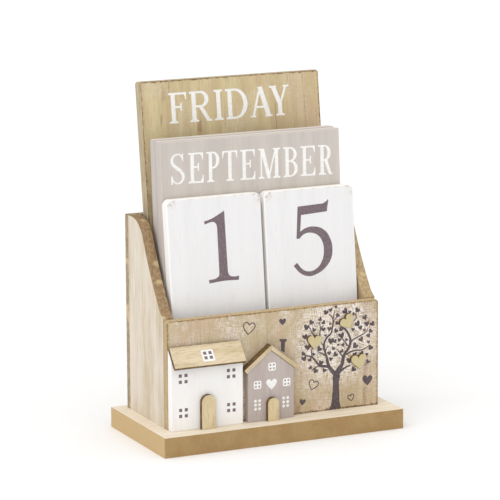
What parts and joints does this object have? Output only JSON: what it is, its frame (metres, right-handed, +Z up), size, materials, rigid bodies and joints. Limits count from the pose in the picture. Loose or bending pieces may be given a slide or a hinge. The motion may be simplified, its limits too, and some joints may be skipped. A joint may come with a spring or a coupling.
{
  "type": "flip desk calendar",
  "caption": "Wooden perpetual desk calendar: an open tray on a plinth, houses and a tree on its front, holding loose boards for weekday, month and date.",
  "frame": {"origin": "middle of the base plate's underside, where it stands on the desk", "axes": "+Z up, the decorated front faces -Y, +X to the right as seen from the front"},
  "size_m": [0.13, 0.068, 0.1738],
  "materials": {
    "mdf_washed": "brown fibreboard, whitewashed thinly on top, matt",
    "panel_cream": "cream chalk paint with a vertical wood grain showing, matt",
    "panel_distressed": "pale straw-coloured wood print, scrubbed lighter in patches, matt",
    "wood_white": "flat white paint, matt",
    "wood_bare": "bare plywood with brown laser-cut edges",
    "wood_taupe": "taupe paint, matt",
    "board_greige": "pale grey-pink paint, matt",
    "steel": "plain bright steel"
  },
  "bodies": {
    "tray": {"base_plate": "mdf_washed", "base_screws": "steel", "left_side_panel": "panel_cream", "right_side_panel": "panel_cream", "back_panel": "panel_cream", "back_pins": "steel", "front_panel": "panel_distressed", "white_house_body": "wood_white", "white_house_roof": "wood_bare", "white_house_door": "wood_bare", "taupe_house_body": "wood_taupe", "taupe_roof_left": "wood_bare", "taupe_roof_right": "wood_bare", "taupe_house_door": "wood_bare", "heart_left": "wood_bare", "heart_top": "wood_bare", "heart_right": "wood_bare"},
    "day": {"day_board": "panel_distressed"},
    "month_rear": {"month_board_rear": "board_greige"},
    "month_front": {"month_board_front": "board_greige"},
    "date_left": {"number_tile_left": "wood_white"},
    "date_right": {"number_tile_right": "wood_white"}
  },
  "joints": [
    {"name": "day_lift", "type": "slide", "parent": "tray", "child": "day", "axis": [0, 0.1287, 0.9917], "range_m": [0, 0.1]},
    {"name": "month_rear_lift", "type": "slide", "parent": "tray", "child": "month_rear", "axis": [0, 0.0684, 0.9977], "range_m": [0, 0.1]},
    {"name": "month_front_lift", "type": "slide", "parent": "tray", "child": "month_front", "axis": [0, 0.0684, 0.9977], "range_m": [0, 0.1]},
    {"name": "date_left_lift", "type": "slide", "parent": "tray", "child": "date_left", "axis": [0, 0.0684, 0.9977], "range_m": [0, 0.1]},
    {"name": "date_right_lift", "type": "slide", "parent": "tray", "child": "date_right", "axis": [0, 0.0684, 0.9977], "range_m": [0, 0.1]}
  ]
}
